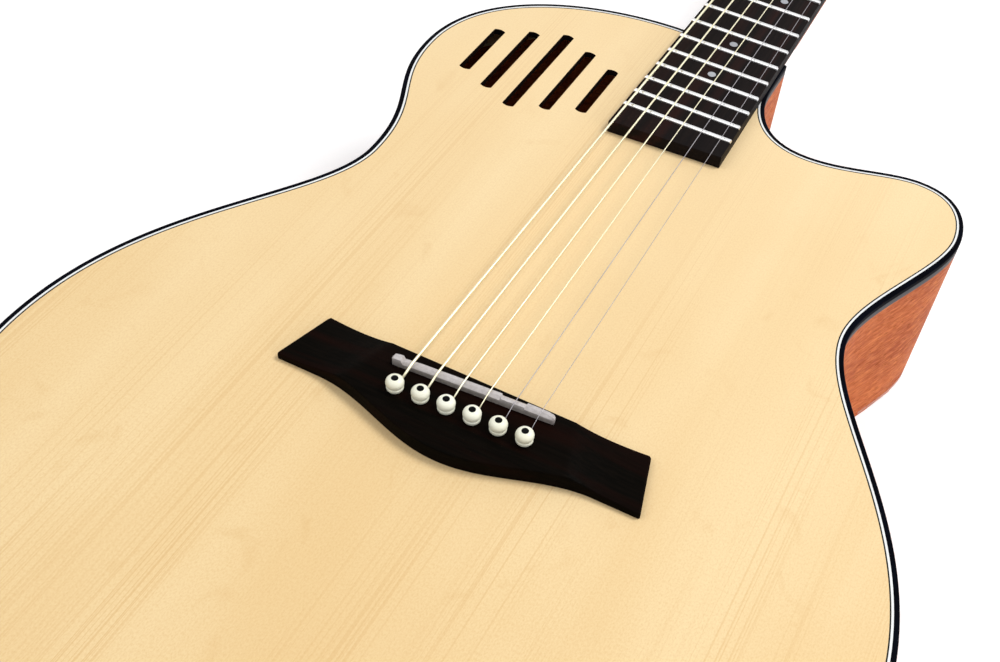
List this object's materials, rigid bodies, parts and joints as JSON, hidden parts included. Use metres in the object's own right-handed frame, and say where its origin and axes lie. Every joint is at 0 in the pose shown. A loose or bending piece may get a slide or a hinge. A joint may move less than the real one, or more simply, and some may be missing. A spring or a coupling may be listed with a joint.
{
  "type": "acoustic-electric guitar",
  "caption": "Steel-string acoustic-electric guitar with a rounded cutaway, slotted soundboard, belly bridge, geared tuners, side preamp, battery box and end-pin jack.",
  "frame": {"origin": "middle of the guitar's footprint as it lies on its back, at the flat back's plane", "axes": "+Y from the tail to the headstock, +X to the treble side, +Z out of the soundboard"},
  "size_m": [0.3606, 1.0468, 0.1036],
  "materials": {
    "spruce": "satin",
    "inner_spruce": "matt",
    "mahogany": "satin",
    "ebony": "satin",
    "black_plastic": "gloss",
    "cream_plastic": "satin",
    "ivory_plastic": "satin",
    "bronze_string": "bright",
    "steel": "satin",
    "nickel": "bright"
  },
  "bodies": {
    "root": {"back_binding": "mahogany", "back_bracing": "inner_spruce", "back_lining": "inner_spruce", "back_panel": "mahogany", "battery": "steel", "battery_box": "black_plastic", "bridge": "ebony", "bridge_pin_1": "ivory_plastic", "bridge_pin_2": "ivory_plastic", "bridge_pin_3": "ivory_plastic", "bridge_pin_4": "ivory_plastic", "bridge_pin_5": "ivory_plastic", "bridge_pin_6": "ivory_plastic", "bridge_plate": "mahogany", "fretboard": "ebony", "frets": "nickel", "headstock_veneer": "ebony", "heel_cap": "ebony", "neck": "mahogany", "neck_block": "mahogany", "nut": "cream_plastic", "output_jack": "nickel", "pickup_strip": "nickel", "preamp": "black_plastic", "saddle": "cream_plastic", "side_bass": "mahogany", "side_treble": "mahogany", "soundboard": "spruce", "string_1": "bronze_string", "string_2": "bronze_string", "string_3": "bronze_string", "string_4": "bronze_string", "string_5": "steel", "string_6": "steel", "tail_block": "mahogany", "top_binding": "black_plastic", "top_bracing": "inner_spruce", "top_lining": "inner_spruce", "top_purfling": "cream_plastic", "truss_rod": "steel", "truss_rod_cover": "black_plastic", "tuner_plate_bass": "nickel", "tuner_plate_treble": "nickel"},
    "tuner_post_1": {"tuner_post_1": "nickel"},
    "tuner_post_2": {"tuner_post_2": "nickel"},
    "tuner_post_3": {"tuner_post_3": "nickel"},
    "tuner_post_4": {"tuner_post_4": "nickel"},
    "tuner_post_5": {"tuner_post_5": "nickel"},
    "tuner_post_6": {"tuner_post_6": "nickel"},
    "tuner_button_1": {"tuner_button_1": "nickel"},
    "tuner_button_2": {"tuner_button_2": "nickel"},
    "tuner_button_3": {"tuner_button_3": "nickel"},
    "tuner_button_4": {"tuner_button_4": "nickel"},
    "tuner_button_5": {"tuner_button_5": "nickel"},
    "tuner_button_6": {"tuner_button_6": "nickel"},
    "truss_rod_nut": {"truss_rod_nut": "nickel"},
    "volume_knob": {"volume_knob": "black_plastic"},
    "tone_knob": {"tone_knob": "black_plastic"},
    "phase_button": {"phase_button": "black_plastic"},
    "battery_door": {"battery_door": "black_plastic"}
  },
  "joints": [
    {"name": "tuner_1_button_turn", "type": "hinge", "parent": "root", "child": "tuner_button_1", "pos_m": [-0.0235, 0.39566, 0.05823], "axis": [-1, 0, 0], "continuous": true},
    {"name": "tuner_1_post_turn", "type": "hinge", "parent": "root", "child": "tuner_post_1", "pos_m": [-0.0235, 0.39199, 0.07863], "axis": [0, 0.2419, 0.9703], "continuous": true},
    {"name": "tuner_2_button_turn", "type": "hinge", "parent": "root", "child": "tuner_button_2", "pos_m": [-0.0235, 0.43545, 0.04832], "axis": [-1, 0, 0], "continuous": true},
    {"name": "tuner_2_post_turn", "type": "hinge", "parent": "root", "child": "tuner_post_2", "pos_m": [-0.0235, 0.43177, 0.06871], "axis": [0, 0.2419, 0.9703], "continuous": true},
    {"name": "tuner_3_button_turn", "type": "hinge", "parent": "root", "child": "tuner_button_3", "pos_m": [-0.0235, 0.47523, 0.0384], "axis": [-1, 0, 0], "continuous": true},
    {"name": "tuner_3_post_turn", "type": "hinge", "parent": "root", "child": "tuner_post_3", "pos_m": [-0.0235, 0.47155, 0.05879], "axis": [0, 0.2419, 0.9703], "continuous": true},
    {"name": "tuner_4_button_turn", "type": "hinge", "parent": "root", "child": "tuner_button_4", "pos_m": [0.0235, 0.47523, 0.0384], "axis": [1, 0, 0], "continuous": true},
    {"name": "tuner_4_post_turn", "type": "hinge", "parent": "root", "child": "tuner_post_4", "pos_m": [0.0235, 0.47155, 0.05879], "axis": [0, 0.2419, 0.9703], "continuous": true},
    {"name": "tuner_5_button_turn", "type": "hinge", "parent": "root", "child": "tuner_button_5", "pos_m": [0.0235, 0.43545, 0.04832], "axis": [1, 0, 0], "continuous": true},
    {"name": "tuner_5_post_turn", "type": "hinge", "parent": "root", "child": "tuner_post_5", "pos_m": [0.0235, 0.43177, 0.06871], "axis": [0, 0.2419, 0.9703], "continuous": true},
    {"name": "tuner_6_button_turn", "type": "hinge", "parent": "root", "child": "tuner_button_6", "pos_m": [0.0235, 0.39566, 0.05823], "axis": [1, 0, 0], "continuous": true},
    {"name": "tuner_6_post_turn", "type": "hinge", "parent": "root", "child": "tuner_post_6", "pos_m": [0.0235, 0.39199, 0.07863], "axis": [0, 0.2419, 0.9703], "continuous": true},
    {"name": "truss_rod_nut_turn", "type": "hinge", "parent": "root", "child": "truss_rod_nut", "pos_m": [0, 0.34928, 0.0845], "axis": [0, 1, 0], "range_deg": [-180, 180]},
    {"name": "tone_knob_turn", "type": "hinge", "parent": "root", "child": "tone_knob", "pos_m": [-0.13636, -0.11486, 0.045], "axis": [-0.9862, -0.1654, 0], "range_deg": [-140, 140]},
    {"name": "volume_knob_turn", "type": "hinge", "parent": "root", "child": "volume_knob", "pos_m": [-0.13581, -0.08404, 0.045], "axis": [-0.9727, 0.2321, 0], "range_deg": [-140, 140]},
    {"name": "phase_button_press", "type": "slide", "parent": "root", "child": "phase_button", "axis": [0.9995, -0.0324, 0], "range_m": [0, 0.0015], "stiffness_N_per_m": 400},
    {"name": "battery_door_swing", "type": "hinge", "parent": "root", "child": "battery_door", "pos_m": [-0.09321, -0.49054, 0.045], "axis": [0, 0, -1], "range_deg": [0, 105]}
  ],
  "couplings": [
    {"joint": "tuner_1_post_turn", "follows": "tuner_1_button_turn", "ratio": 0.0625},
    {"joint": "tuner_2_post_turn", "follows": "tuner_2_button_turn", "ratio": 0.0625},
    {"joint": "tuner_3_post_turn", "follows": "tuner_3_button_turn", "ratio": 0.0625},
    {"joint": "tuner_4_post_turn", "follows": "tuner_4_button_turn", "ratio": 0.0625},
    {"joint": "tuner_5_post_turn", "follows": "tuner_5_button_turn", "ratio": 0.0625},
    {"joint": "tuner_6_post_turn", "follows": "tuner_6_button_turn", "ratio": 0.0625}
  ]
}
